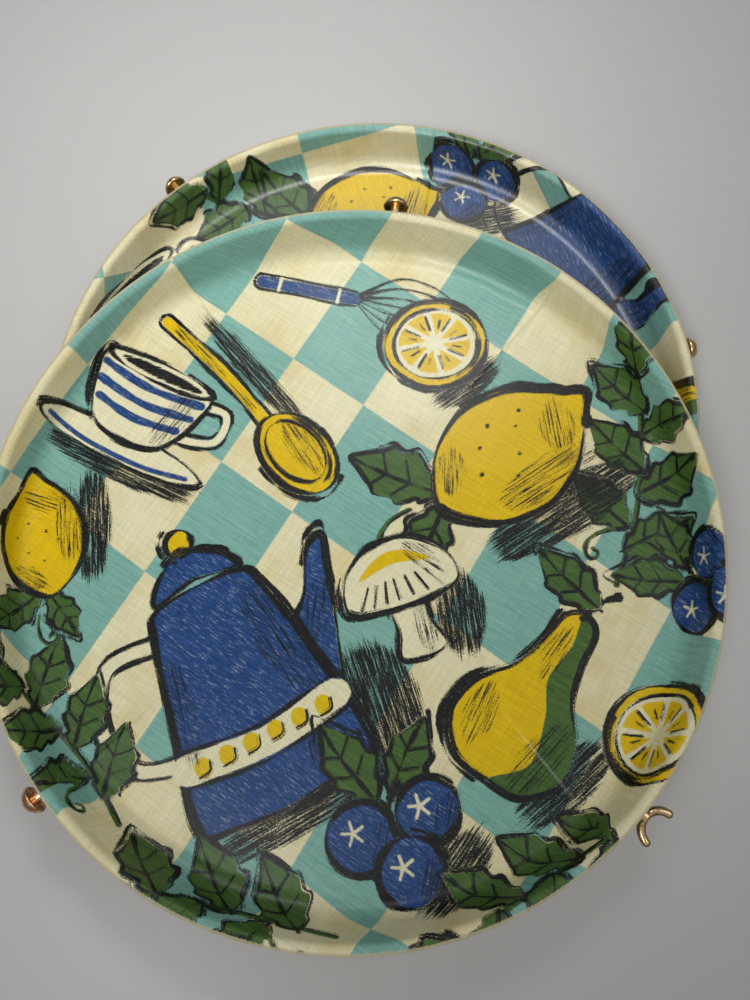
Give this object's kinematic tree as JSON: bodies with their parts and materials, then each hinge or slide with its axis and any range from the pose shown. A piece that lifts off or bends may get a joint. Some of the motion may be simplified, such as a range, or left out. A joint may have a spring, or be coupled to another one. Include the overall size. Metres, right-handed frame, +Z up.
{
  "type": "rimmed dish set",
  "caption": "Two round shallow dishes of printed cloth set in resin, stacked off centre, with brass thumb fittings under the lip of each rim.",
  "frame": {"origin": "middle of the foot of the bounding box, on the table under the lower dish", "axes": "+Z up out of the dishes, +X to the viewer's right, -Y toward the viewer"},
  "size_m": [0.3274, 0.3718, 0.0443],
  "materials": {
    "back_print": "printed cloth under glossy resin",
    "front_print": "printed cloth under satin resin",
    "backing": "amber resin and glass, slightly rough",
    "brass": "polished, aged"
  },
  "bodies": {
    "back_dish": {"back_face": "back_print", "back_shell": "backing", "back_stud_1": "brass", "back_bush_1": "brass", "back_stud_2": "brass", "back_bush_2": "brass", "back_stud_3": "brass", "back_bush_3": "brass"},
    "front_dish": {"front_face": "front_print", "front_shell": "backing", "front_stud_1": "brass", "front_bush_1": "brass", "front_stud_2": "brass", "front_bush_2": "brass", "front_stud_3": "brass", "front_bush_3": "brass"},
    "back_knob_1": {"back_knob_1": "brass"},
    "back_knob_2": {"back_knob_2": "brass"},
    "back_knob_3": {"back_knob_3": "brass"},
    "front_knob_1": {"front_knob_1": "brass"},
    "front_knob_2": {"front_knob_2": "brass"},
    "front_wing": {"front_wing": "brass"}
  },
  "joints": [
    {"name": "front_lift", "type": "slide", "parent": "back_dish", "child": "front_dish", "axis": [0, 0, 1], "range_m": [0, 0.12]},
    {"name": "back_knob_1_turn", "type": "hinge", "parent": "back_dish", "child": "back_knob_1", "pos_m": [0.15643, 0.04244, 0.016], "axis": [0.999, 0.0436, 0], "continuous": true},
    {"name": "back_knob_2_turn", "type": "hinge", "parent": "back_dish", "child": "back_knob_2", "pos_m": [-0.07203, 0.16136, 0.016], "axis": [-0.5373, 0.8434, 0], "continuous": true},
    {"name": "back_knob_3_turn", "type": "hinge", "parent": "back_dish", "child": "back_knob_3", "pos_m": [-0.06079, -0.09595, 0.016], "axis": [-0.4617, -0.887, 0], "continuous": true},
    {"name": "front_knob_1_turn", "type": "hinge", "parent": "front_dish", "child": "front_knob_1", "pos_m": [0.03004, 0.11594, 0.0383], "axis": [0.2588, 0.9659, 0], "continuous": true},
    {"name": "front_knob_2_turn", "type": "hinge", "parent": "front_dish", "child": "front_knob_2", "pos_m": [-0.13848, -0.1139, 0.0383], "axis": [-0.8434, -0.5373, 0], "continuous": true},
    {"name": "front_wing_turn", "type": "hinge", "parent": "front_dish", "child": "front_wing", "pos_m": [0.08793, -0.14956, 0.0383], "axis": [0.6374, -0.7705, 0], "continuous": true}
  ]
}
